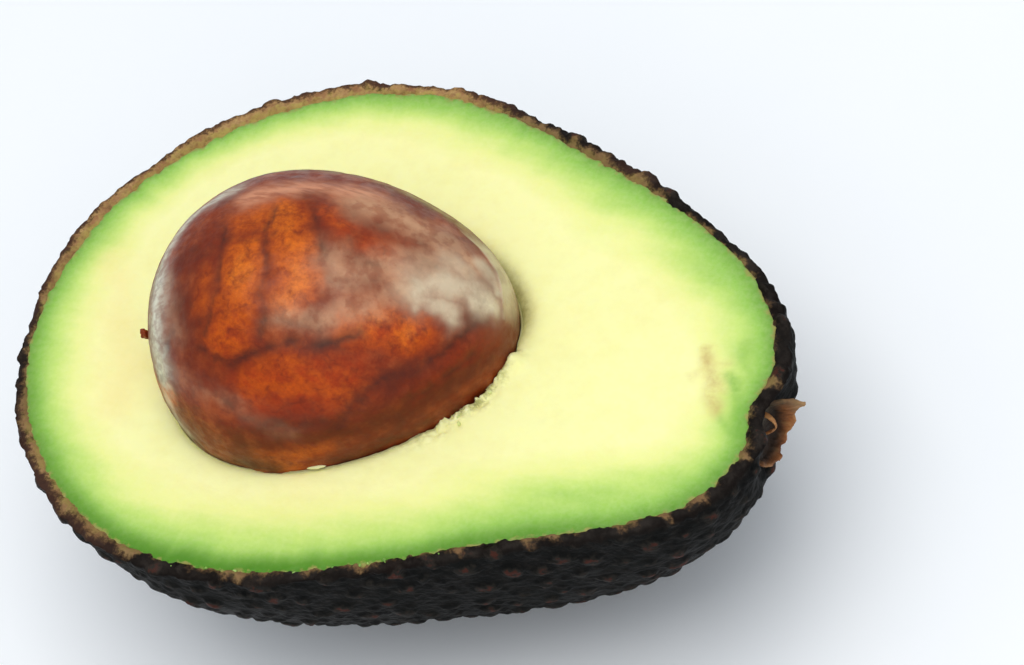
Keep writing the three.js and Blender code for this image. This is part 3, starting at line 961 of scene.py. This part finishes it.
def collarEdge(angle):
    wall = smoothStep(*collarLook["wallEnds"], np.cos(angle - collarLook["highTurn"]))
    jags = sum(height * np.sin(count * angle) for height, count in collarLook["waves"])
    jags += uneven(ringOf(angle), collarLook["jags"])
    climb = smoothStep(collarLook["leanFrom"], collarLook["spikeTurn"], np.mod(angle, 2 * math.pi))
    lean = collarLook["lean"] + (1 - collarLook["lean"]) * climb
    edge = collarLook["low"] + (collarLook["high"] - collarLook["low"]) * wall * lean
    edge += collarLook["spike"] * nearAngle(angle, collarLook["spikeTurn"], collarLook["spikeSpread"])
    return edge + jags * (collarLook["lowJags"] + (1 - collarLook["lowJags"]) * wall)


def buildCollar():
    around, foot, floor = collarLook["around"], collarLook["foot"], collarLook["floor"]
    angle = turns(around)
    edge = collarEdge(angle)
    outerRadius, innerRadius = collar["radius"], collar["radius"] - collar["wall"]
    flare = collarLook["flare"] * edge / collarLook["flareHeight"]
    rings = []

    def addRing(radius, height, inside):
        rings.append((np.stack([height, -radius * np.sin(angle), radius * np.cos(angle)], -1), inside))

    for share in np.linspace(0, 1, collarLook["wallRows"]):
        taper = collarLook["footTaper"] * (1 - share) ** 2
        radius = outerRadius + flare * share ** collarLook["flarePower"] - taper
        addRing(radius, -foot + (edge + foot) * share, 0.0)
    addRing(outerRadius + flare - collarLook["lipIn"], edge + collarLook["lipUp"], collarLook["lipInside"])
    for share in np.linspace(1, 0, collarLook["wallRows"]):
        addRing(innerRadius + (flare + collarLook["thinning"]) * share, floor + (edge - floor) * share, 1.0)
    for share in np.linspace(*collarLook["floorShares"], collarLook["floorRows"]):
        addRing(innerRadius * share, floor - collarLook["floorDip"] * (1 - share) + 0 * angle, 1.0)
    shape = np.concatenate([ring for ring, _ in rings])
    inside = np.repeat([value for _, value in rings], around)
    outwards = shape * np.array((0, 1, 1))
    outwards /= np.maximum(np.linalg.norm(outwards, axis=1), collarLook["fibreMiddle"])[:, None]
    fibre = uneven(shape * collarLook["fibreRun"], collarLook["fibres"])
    points = shape + outwards * fibre[:, None] + bends(shape, collarLook["bends"]) + collar["centre"]
    points[:, 2] = np.minimum(points[:, 2], 0.0)
    ends = collar["centre"] + np.array([(-foot, 0, 0), (floor - collarLook["floorDip"], 0, 0)])
    points = np.concatenate([ends[:1], points, ends[1:]])
    grey = np.tile(nearAngle(angle, collarLook["greyTurn"], collarLook["greySpread"]), len(rings))
    marks = {"inside": withEnds(inside), "height": withEnds(shape[:, 0]), "grey": withEnds(grey)}
    return newPiece("stem_collar_torn", points, ringFaces(len(rings), around), marks)


# A shred of wood that arches over the collar's hollow
shred = {
    "around": 10,
    "steps": 26,
    "start": np.array((47.3, 0.3, -2.4)),
    "end": np.array((47.3, -1.2, -4.9)),
    "rise": 2.0,
    "archPower": 0.8,
    "width": 0.34,
    "taper": (1.15, 0.5),
    "waver": (0.25, 9),
    "flatness": 0.45,
    "paleEnds": 0.5,              # its mark of height, at the ends and along it
    "paleArch": 1.2,
    "stride": 2.9,                # its length between the ends, about
    "bends": [(0.07, 0.5, 101)],
}


def buildShred():
    around, rise = shred["around"], shred["rise"]
    share = np.linspace(0, 1, shred["steps"])
    angle = turns(around)[:, None]
    way = shred["end"] - shred["start"]
    run, up = unitVector(way), np.array((1.0, 0, 0))
    lean = np.cross(run, up)
    (full, thinner), (waver, count) = shred["taper"], shred["waver"]
    rings = []
    for place in share:
        middle = shred["start"] + way * place + up * rise * math.sin(math.pi * place) ** shred["archPower"]
        slope = up * math.pi * rise * math.cos(math.pi * place) + run * shred["stride"]
        side = np.cross(lean, unitVector(slope))
        width = shred["width"] * (full - thinner * place + waver * math.sin(count * place))
        rings.append(middle + width * (np.cos(angle) * lean + np.sin(angle) * side * shred["flatness"]))
    points = np.concatenate(rings)
    points = np.concatenate([[shred["start"]], points + bends(points, shred["bends"]), [shred["end"]]])
    arch = np.repeat(shred["paleArch"] * (1 + np.sin(math.pi * share)), around)
    height = np.concatenate([[shred["paleEnds"]], arch, [shred["paleEnds"]]])
    marks = {"inside": np.zeros(len(points)), "height": height}
    return newPiece("stem_shred", points, ringFaces(shred["steps"], around), marks)


# Crumbs of flesh along the torn edge and on the near rim, half sunk where they lie
crumbs = {
    "seed": 12,
    # pixel, how far they scatter in millimetres, how many, largest size
    "places": [((452, 415), 0.8, 9, 0.34), ((486, 389), 0.7, 7, 0.3)],
    "sizeDraw": (0.45, 1.0),
    "shapeDraw": ((0.8, 1.6), (0.6, 1.0), (0.5, 0.8)),
    "sink": 0.1,
    "seedClear": 0.25,
    "fromSkin": 6.0,              # their colour is the flesh's at such distances
    "fromSeed": 6.0,
    "greenBand": 9.0,
    "flake": [(307, 471), (322, 463)],
    "flakeWidth": 0.26,
    "flakeFromSkin": 12.0,
    "rimCount": 12,               # crumbs along the rim, from one pixel's side to another's
    "rimStart": (150, 556),
    "rimEnd": (470, 549),
    "rimSize": 0.24,
    "rimSizeDraw": (0.4, 1.0),
    "rimGrow": (-0.5, 0.1),
    "rimFromSkin": (0.3, 2.5),
    "lumpiness": [(0.28, 1.0, 111, 2)],
    "lumpSize": 1.7,
    "lumpDraw": (-50, 50),
}


def lumpMesh(ball, centre, sizes, turn, draw):
    lumps = uneven(ball * crumbs["lumpSize"] + draw.uniform(*crumbs["lumpDraw"], 3), crumbs["lumpiness"])
    return centre + turnedAbout(ball * sizes * (1 + lumps)[:, None], turn)


def unitBall(fineness):
    ball = bmesh.new()
    bmesh.ops.create_icosphere(ball, subdivisions=fineness, radius=1.0)
    points = np.array([vertex.co for vertex in ball.verts])
    faces = [[vertex.index for vertex in face.verts] for face in ball.faces]
    ball.free()
    return points, faces


def buildCrumbs():
    ball, ballFaces = unitBall(3)
    draw = np.random.default_rng(crumbs["seed"])
    spots = []
    for pixel, scatter, count, largest in crumbs["places"]:
        for _ in range(count):
            spot = pixelOnCut(pixel) + np.append(draw.normal(size=2) * scatter, 0.0)
            if seedLevel(spot, crumbs["seedClear"]) > 0:
                spots.append((spot, largest * draw.uniform(*crumbs["sizeDraw"]), crumbs["fromSkin"]))
    start, end = turnTowards(crumbs["rimStart"]), turnTowards(crumbs["rimEnd"])
    for _ in range(crumbs["rimCount"]):
        direction = ringOf(np.array([start + (end - start) * draw.uniform()]))
        spot = leaveBody(fleshMiddle(), direction, fruitLevel, draw.uniform(*crumbs["rimGrow"]))[0]
        size = crumbs["rimSize"] * draw.uniform(*crumbs["rimSizeDraw"])
        spots.append((spot, size, draw.uniform(*crumbs["rimFromSkin"])))
    points, fromSkin = [], []
    for spot, size, distance in spots:
        sizes = size * np.array([draw.uniform(*ends) for ends in crumbs["shapeDraw"]])
        spot[2] = crumbs["sink"] * sizes[2]
        points.append(lumpMesh(ball, spot, sizes, draw.uniform(0, math.pi), draw))
        fromSkin.append(np.full(len(ball), distance))
    tail, tip = (pixelOnSeed(pixel) for pixel in crumbs["flake"])
    along = tip - tail
    slim = np.array((np.linalg.norm(along) / 2, crumbs["flakeWidth"], crumbs["flakeWidth"]))
    points.append(lumpMesh(ball, (tail + tip) / 2, slim, math.atan2(along[1], along[0]), draw))
    fromSkin.append(np.full(len(ball), crumbs["flakeFromSkin"]))
    starts = range(0, len(points) * len(ball), len(ball))
    faces = [[start + corner for corner in face] for start in starts for face in ballFaces]
    fromSkin = np.concatenate(fromSkin)
    fromSeed = np.full(len(fromSkin), crumbs["fromSeed"])
    marks = {"ripe": fromSkin / crumbs["greenBand"], "fromSkin": fromSkin, "fromSeed": fromSeed}
    return newPiece("flesh_crumbs", np.concatenate(points), faces, marks)


# A brown bit of seed coat that stands off the seed's side
coatBit = {
    "pixel": (147, 334),
    "size": np.array((0.5, 0.42, 0.8)),
    "turn": 0.5,
    "standOff": 0.3,
    "seed": 5,
    "glow": 0.15,
}


def buildCoatBit():
    ball, faces = unitBall(4)
    draw = np.random.default_rng(coatBit["seed"])
    spot = pixelOnSeed(coatBit["pixel"])
    spot = spot + coatBit["standOff"] * outwardAt(spot[None], seedLevel, 0.0)[0]
    points = lumpMesh(ball, spot, coatBit["size"], coatBit["turn"], draw)
    return newPiece("seed_coat_bit", points, faces, {"glow": np.full(len(points), coatBit["glow"])})


# Shader helpers. A socket knows the tree that it is in.
def put(tree, kind, inputs=None, **settings):
    made = tree.nodes.new(kind)
    for name, value in settings.items():
        setattr(made, name, value)
    for name, value in (inputs or {}).items():
        if isinstance(value, bpy.types.NodeSocket):
            tree.links.new(value, made.inputs[name])
        else:
            made.inputs[name].default_value = value
    return made


def linear(*colour):
    return *Color([part / 255 for part in colour]).from_srgb_to_scene_linear(), 1.0


def mixColour(share, first, second):
    inputs = {0: share, 6: first, 7: second}
    return put(share.id_data, "ShaderNodeMix", inputs, data_type="RGBA").outputs[2]


# Tints laid over a colour one after another, each where its mask is strong
def tinted(colour, layers):
    for mask, tint in layers:
        colour = mixColour(mask, colour, linear(*tint))
    return colour


def maths(operation, first, second=0.0):
    return put(first.id_data, "ShaderNodeMath", {0: first, 1: second}, operation=operation).outputs[0]


def times(first, second):
    return maths("MULTIPLY", first, second)


def plus(first, second):
    return maths("ADD", first, second)


# A value that swings evenly about zero, from one between 0 and 1
def swing(value, amount):
    return times(maths("SUBTRACT", value, 0.5), amount)


def spread(value, low, high, toLow=0.0, toHigh=1.0):
    inputs = {"Value": value, "From Min": low, "From Max": high, "To Min": toLow, "To Max": toHigh}
    made = put(value.id_data, "ShaderNodeMapRange", inputs, clamp=True, interpolation_type="SMOOTHSTEP")
    return made.outputs[0]


def between(value, toLow, toHigh):
    return spread(value, 0.0, 1.0, toLow, toHigh)


def ramp(value, stops):
    made = put(value.id_data, "ShaderNodeValToRGB", {"Fac": value})
    bar = made.color_ramp.elements
    while len(bar) < len(stops):
        bar.new(0.5)
    for element, (place, colour) in zip(bar, stops):
        element.position = place
        element.color = linear(*colour)
    return made.outputs["Color"]


def mark(tree, name):
    return put(tree, "ShaderNodeAttribute", attribute_name=name).outputs["Fac"]


def newGroup(name, inputs, output):
    group = bpy.data.node_groups.new(name, "ShaderNodeTree")
    for label, value in inputs.items():
        socket = group.interface.new_socket(label, in_out="INPUT", socket_type="NodeSocketFloat")
        socket.default_value = value
    group.interface.new_socket(output, in_out="OUTPUT", socket_type="NodeSocketFloat")
    place = put(group, "ShaderNodeTexCoord").outputs["Object"]
    return group, group.nodes.new("NodeGroupInput").outputs, place


def closeGroup(group, value):
    group.links.new(value, group.nodes.new("NodeGroupOutput").inputs[0])
    return group


def makeMottleGroup():
    group, given, place = newGroup("softMottle", {"Scale": 300.0, "Low": 0.4, "High": 0.6}, "Mask")
    inputs = {"Vector": place, "Scale": given["Scale"], "Detail": 5.0, "Roughness": 0.62}
    cloud = put(group, "ShaderNodeTexNoise", inputs).outputs["Fac"]
    inputs = {"Value": cloud, "From Min": given["Low"], "From Max": given["High"]}
    return closeGroup(group, put(group, "ShaderNodeMapRange", inputs).outputs[0])


def makeGrainGroup():
    group, given, place = newGroup("fineGrain", {"Scale": 900.0, "Pits": 0.3}, "Height")
    inputs = {"Vector": place, "Scale": given["Scale"], "Detail": 6.0, "Roughness": 0.55}
    cloud = put(group, "ShaderNodeTexNoise", inputs).outputs["Fac"]
    inputs = {"Vector": place, "Scale": given["Scale"]}
    pits = times(put(group, "ShaderNodeTexVoronoi", inputs).outputs["Distance"], given["Pits"])
    return closeGroup(group, maths("SUBTRACT", cloud, pits))


mottleGroup = makeMottleGroup()
grainGroup = makeGrainGroup()


def useGroup(tree, group, inputs):
    made = put(tree, "ShaderNodeGroup", node_tree=group)
    for name, value in inputs.items():
        made.inputs[name].default_value = value
    return made.outputs[0]


def mottle(tree, scale, low, high):
    return useGroup(tree, mottleGroup, {"Scale": scale, "Low": low, "High": high})


def stretchedNoise(tree, scale, turn, detail):
    place = put(tree, "ShaderNodeTexCoord").outputs["Object"]
    fit = put(tree, "ShaderNodeMapping", {"Vector": place, "Scale": scale, "Rotation": (0, 0, turn)})
    inputs = {"Vector": fit.outputs[0], "Scale": 1.0, "Detail": detail}
    return put(tree, "ShaderNodeTexNoise", inputs).outputs["Fac"]


def newMaterial(name):
    material = bpy.data.materials.new(name)
    material.use_nodes = True
    return material, material.node_tree


# Grain has its scale, the strength of its pits and its depth in metres
def finishMaterial(material, colour, roughness, grain, constants):
    tree = material.node_tree
    scale, pits, depth = grain
    height = useGroup(tree, grainGroup, {"Scale": scale, "Pits": pits})
    bump = put(tree, "ShaderNodeBump", {"Height": height, "Distance": depth, "Strength": 0.8})
    shader = tree.nodes["Principled BSDF"]
    for name, socket in (("Base Color", colour), ("Roughness", roughness), ("Normal", bump.outputs[0])):
        tree.links.new(socket, shader.inputs[name])
    for name, value in constants.items():
        shader.inputs[name].default_value = value
    return material


def skinMaterial():
    material, tree = newMaterial("darkPeel")
    cloud = mottle(tree, 120.0, 0.35, 0.65)
    speck = mottle(tree, 900.0, 0.42, 0.62)
    across, curl, rolled = (mark(tree, name) for name in ("across", "curl", "rolled"))
    raised = plus(mark(tree, "tip"), swing(speck, 0.6))
    # grey mottling on the dark curled part of the rim: partly wear, partly a painted sheen
    wornAndSheen = times(mottle(tree, 420.0, 0.42, 0.66), spread(across, 0.0, 0.25))
    peel = tinted(mixColour(cloud, linear(8, 8, 8), linear(20, 21, 20)), [
        (times(speck, 0.3), (34, 30, 27)),
        (spread(raised, 0.1, 0.8, 0.0, 0.85), (42, 39, 35)),
        (spread(raised, 0.65, 1.05, 0.0, 0.9), (70, 38, 31)),
        (times(wornAndSheen, 0.4), (62, 57, 53)),
    ])
    # the cut rim: tan and rust, brown towards the outside, fibrous and flecked by the flesh
    patch = mottle(tree, 330.0, 0.3, 0.7)
    fleck = mottle(tree, 1100.0, 0.35, 0.65)
    flecked = plus(across, swing(fleck, 0.5))
    ragged = plus(swing(fleck, 0.24), swing(mottle(tree, 2300.0, 0.35, 0.65), 0.34))
    past = maths("SUBTRACT", across, plus(curl, ragged))
    green = times(spread(flecked, 0.35, 0.75), patch)
    pits = times(mottle(tree, 1300.0, 0.5, 0.66), spread(across, 0.2, 0.6))
    tan = ramp(patch, [
        (0.0, (112, 78, 54)), (0.4, (156, 116, 80)), (0.7, (178, 142, 96)), (1.0, (200, 168, 110)),
    ])
    tan = tinted(tan, [
        (times(fleck, 0.45), (192, 160, 98)),
        (times(mottle(tree, 560.0, 0.5, 0.68), 0.55), (132, 80, 56)),
        (times(spread(past, 0.0, 0.36, 0.9, 0.0), spread(curl, 0.0, 0.4, 0.75, 1.0)), (80, 54, 36)),
        (times(green, 0.7), (158, 150, 66)),
        (times(pits, 0.4), (84, 60, 34)),
        (spread(rolled, 0.1, 0.5, 0.0, 0.62), (98, 78, 56)),
    ])
    rim = spread(past, -0.24, 0.42)
    brown = times(spread(flecked, -0.6, 0.1), spread(rolled, 0.15, 0.58, 1.0, 0.06))
    colour = mixColour(rim, tinted(peel, [(brown, (76, 52, 43))]), tan)
    roughness = plus(between(cloud, 0.42, 0.6), times(rim, 0.3))
    grain = (1300.0, 0.6, 0.00022)
    return finishMaterial(material, colour, roughness, grain, {"Specular IOR Level": 0.025})


def fleshMaterial():
    material, tree = newMaterial("ripeFlesh")
    drift = mottle(tree, 70.0, 0.25, 0.75)
    fine = mottle(tree, 900.0, 0.35, 0.65)
    streaks = stretchedNoise(tree, (45.0, 220.0, 100.0), 0.35, 4.0)
    ripe, fromSkin, soft = (mark(tree, name) for name in ("ripe", "fromSkin", "soft"))
    wander = plus(swing(drift, 0.2), swing(streaks, 0.4))
    ripe = plus(ripe, times(wander, spread(ripe, 0.05, 0.5)))
    blotch = between(mottle(tree, 330.0, 0.3, 0.7), 0.3, 1.0)
    darkEdge = spread(plus(fromSkin, swing(drift, 0.8)), 0.4, 3.6, 0.95, 0.0)
    # dark olive patches over the torn flesh beside the seed: painted shade among the torn lumps
    tornShade = times(mark(tree, "torn"), mottle(tree, 480.0, 0.48, 0.6))
    colour = ramp(ripe, [
        (0.0, (102, 152, 54)), (0.06, (122, 172, 66)), (0.2, (155, 202, 88)), (0.42, (200, 227, 118)),
        (0.68, (238, 243, 152)), (1.0, (255, 252, 177)),
    ])
    colour = tinted(colour, [
        # warm painted shade beside the seed
        (times(mark(tree, "warmShade"), spread(drift, 0.2, 0.8, 0.4, 1.0)), (250, 222, 150)),
        (times(mottle(tree, 300.0, 0.45, 0.72), spread(ripe, 0.55, 0.95, 0.0, 0.3)), (242, 230, 146)),
        (times(mottle(tree, 1500.0, 0.35, 0.7), 0.1), (255, 253, 214)),
        (times(mark(tree, "smudge"), blotch), (196, 162, 96)),
        (times(mark(tree, "greenPatch"), blotch), (134, 186, 76)),
        # the dark and frayed edge on the rim, the hollow's wall, the groove and the tear beside the seed
        # darker green at the very edge: the flesh's deeper green, with painted shade strongest on the near
        # side
        (times(mark(tree, "darkEdge"), darkEdge), (78, 136, 26)),
        (spread(plus(fromSkin, swing(fine, 0.9)), -0.05, 0.65, 0.9, 0.0), (164, 154, 86)),
        # olive on the hollow's wall and on the face's edge by the seed: painted shade where the flesh meets
        # the seed
        (spread(mark(tree, "fromSeed"), -0.6, 0.3, 0.7, 0.0), (170, 150, 74)),
        # olive in the soft groove by the seed: partly stain, partly painted shade of the groove
        (times(soft, times(between(fine, 0.75, 1.0), 0.85)), (140, 130, 66)),
        (times(tornShade, 0.8), (118, 122, 58)),
    ])
    return finishMaterial(material, colour, between(drift, 0.42, 0.58), (800.0, 0.15, 0.00005), {
        "Subsurface Weight": 0.35,
        "Subsurface Radius": (0.003, 0.0026, 0.001),
        "Subsurface Scale": 1.0,
        "Specular IOR Level": 0.2,
    })


def seedMaterial():
    material, tree = newMaterial("mottledSeedCoat")
    cloud = mottle(tree, 260.0, 0.3, 0.7)
    speck = mottle(tree, 620.0, 0.42, 0.64)
    dots = mottle(tree, 2000.0, 0.42, 0.6)
    blotch = spread(stretchedNoise(tree, (560.0, 560.0, 560.0), 0.0, 3.0), 0.38, 0.66)
    base = ramp(cloud, [(0.0, (78, 30, 15)), (0.5, (124, 50, 20)), (1.0, (168, 80, 34))])
    lit = times(mark(tree, "glow"), spread(cloud, 0.0, 0.8, 0.72, 1.0))
    orange = ramp(lit, [
        (0.0, (134, 54, 16)), (0.35, (176, 76, 12)), (0.65, (210, 100, 12)), (0.9, (230, 122, 22)),
        (1.0, (236, 138, 36)),
    ])
    flecks = plus(times(blotch, 0.36), plus(times(speck, 0.24), times(dots, 0.24)))
    winding = maths("SUBTRACT", stretchedNoise(tree, (300.0, 300.0, 300.0), 0.0, 3.0), 0.5)
    threads = times(spread(maths("ABSOLUTE", winding), 0.0, 0.045, 1.0, 0.0), between(blotch, 0.3, 1.0))
    patchy = spread(plus(cloud, swing(blotch, 0.4)), 0.1, 0.9, 0.7, 1.0)
    mist = times(patchy, between(blotch, 1.0, 0.5))
    hairs = spread(stretchedNoise(tree, (320.0, 1500.0, 900.0), 0.9, 3.0), 0.35, 0.62, 0.55, 1.0)
    colour = tinted(mixColour(spread(lit, 0.04, 0.45), base, orange), [
        (times(mark(tree, "red"), between(speck, 0.5, 1.0)), (178, 50, 0)),
        (flecks, (122, 36, 6)),
        (times(threads, 0.3), (92, 30, 12)),
    ])
    coats = [
        ("vein", (54, 25, 20), between(speck, 1.0, 0.6)), ("dark", (84, 27, 10), between(blotch, 0.8, 1.0)),
        ("tipRed", (118, 46, 20), patchy), ("salmon", (214, 146, 110), hairs),
        ("olive", (156, 130, 82), patchy), ("moss", (72, 38, 10), patchy),
        # the silvery coat carries a painted sheen along the seed's edges
        ("veil", (200, 154, 118), mist), ("silverCoatAndSheen", (232, 230, 206), hairs),
        # the whitish film carries a painted soft reflection
        ("film", (230, 216, 184), patchy), ("bare", (212, 196, 158), patchy),
        ("lip", (226, 214, 178), 0.7),
    ]
    colour = tinted(colour, [(times(mark(tree, name), texture), tint) for name, tint, texture in coats])
    return finishMaterial(material, colour, between(speck, 0.36, 0.54), (900.0, 0.25, 0.00008), {
        "Subsurface Weight": 0.05,
        "Subsurface Radius": (0.0014, 0.0005, 0.0002),
        "Subsurface Scale": 1.0,
        "Specular IOR Level": 0.2,
        "Coat Weight": 0.04,
        "Coat Roughness": 0.25,
    })


def stemMaterial():
    material, tree = newMaterial("tornStemWood")
    strands = stretchedNoise(tree, (180.0, 900.0, 900.0), 0.0, 4.0)
    cloud = mottle(tree, 600.0, 0.35, 0.65)
    height, inside = mark(tree, "height"), mark(tree, "inside")
    wood = ramp(strands, [(0.25, (92, 52, 28)), (0.5, (160, 98, 52)), (0.75, (208, 156, 98))])
    colour = tinted(wood, [
        # near-black low inside the cup: painted shade in its hollow
        (times(spread(height, 0.2, 2.0, 1.0, 0.0), spread(inside, 0.3, 0.9, 0.7, 0.97)), (24, 20, 14)),
        (times(cloud, 0.3), (62, 40, 26)),
        (spread(height, 1.6, 3.2, 0.0, 0.35), (206, 176, 128)),
        (times(mark(tree, "grey"), between(cloud, 0.7, 1.0)), (66, 58, 42)),
    ])
    grain = (1600.0, 0.3, 0.00015)
    return finishMaterial(material, colour, between(cloud, 0.62, 0.85), grain, {"Specular IOR Level": 0.25})


stage = {
    "floorSize": 3.0,
    "worldTop": 0.66,             # brightness of the soft room overhead and at eye level
    "worldSide": 0.42,
    "worldFade": (0.1, 0.9),
    "worldColour": (0.86, 0.93, 1.0, 1.0),
    "lampColour": (1.0, 0.985, 0.955),
    "keyDirection": (0.1, -0.1, 0.99),
    "keyDistance": 0.95,
    "keySize": 0.75,
    "keyPower": 5.1,
    "fillDirection": (0.5, -0.55, 0.5),
    "fillDistance": 1.1,
    "fillSize": 1.0,
    "fillPower": 2.0,
}


def buildFloor():
    half = stage["floorSize"] / 2
    corners = [(-half, -half, 0), (half, -half, 0), (half, half, 0), (-half, half, 0)]
    mesh = bpy.data.meshes.new("floor")
    mesh.from_pydata(corners, [], [(0, 1, 2, 3)])
    floor = bpy.data.objects.new("floor", mesh)
    scene.collection.objects.link(floor)
    material, tree = newMaterial("paleFloor")
    cloud = mottle(tree, 9.0, 0.3, 0.7)
    tint = mixColour(cloud, linear(249, 251, 254), linear(252, 253, 255))
    finishMaterial(material, tint, between(cloud, 0.55, 0.65), (300.0, 0.1, 0.00001), {})
    mesh.materials.append(material)


def buildLight():
    world = bpy.data.worlds.new("studio")
    world.use_nodes = True
    tree = world.node_tree
    sky = tree.nodes["Background"]
    sky.inputs["Color"].default_value = stage["worldColour"]
    place = put(tree, "ShaderNodeTexCoord").outputs["Generated"]
    height = put(tree, "ShaderNodeSeparateXYZ", {0: place}).outputs[2]
    strength = spread(height, *stage["worldFade"], stage["worldSide"], stage["worldTop"])
    tree.links.new(strength, sky.inputs["Strength"])
    scene.world = world
    aim = Vector((0, 0, fruit["cutHeight"] * millimetre))
    for role in ("key", "fill"):
        direction = Vector(stage[role + "Direction"]).normalized()
        lamp = bpy.data.lights.new(role + "Softbox", "AREA")
        lamp.shape = "SQUARE"
        lamp.size = stage[role + "Size"]
        lamp.energy = stage[role + "Power"]
        lamp.color = stage["lampColour"]
        softbox = bpy.data.objects.new(role + "Softbox", lamp)
        softbox.location = aim + direction * stage[role + "Distance"]
        softbox.rotation_mode = "QUATERNION"
        softbox.rotation_quaternion = direction.to_track_quat("Z", "Y")
        scene.collection.objects.link(softbox)


def buildCamera():
    place, right, up, back = cameraAxes()
    lens = bpy.data.cameras.new("photoCamera")
    lens.sensor_width = photo["sensor"]
    lens.lens = photo["focal"] / photo["width"] * photo["sensor"]
    lens.clip_start = photo["clip"]
    camera = bpy.data.objects.new("photoCamera", lens)
    turn = Matrix((right, up, back)).transposed()
    camera.matrix_world = Matrix.Translation(Vector(toWorld(place))) @ turn.to_4x4()
    scene.collection.objects.link(camera)
    scene.camera = camera


def settle(piece, material, slot, *nodes):
    piece.data.materials.append(material)
    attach(piece, "root")
    if nodes:
        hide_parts(*nodes)


peelMaterial = skinMaterial()
ripeMaterial = fleshMaterial()
coatMaterial = seedMaterial()
woodMaterial = stemMaterial()
print("materials made")

settle(buildSkin(), peelMaterial, "skin", "skin")
print("skin made")
settle(buildFlesh(), ripeMaterial, "flesh", "flesh")
settle(buildCrumbs(), ripeMaterial, "flesh")
print("flesh made")
settle(buildSeed(), coatMaterial, "seed", "seed")
settle(buildCoatBit(), coatMaterial, "seed")
print("seed made")
settle(buildCollar(), woodMaterial, "stem", "stem_collar")
settle(buildShred(), woodMaterial, "stem")
print("stem collar made")

buildFloor()
buildLight()
buildCamera()
scene.view_settings.view_transform = "Standard"
print("stage and camera made")
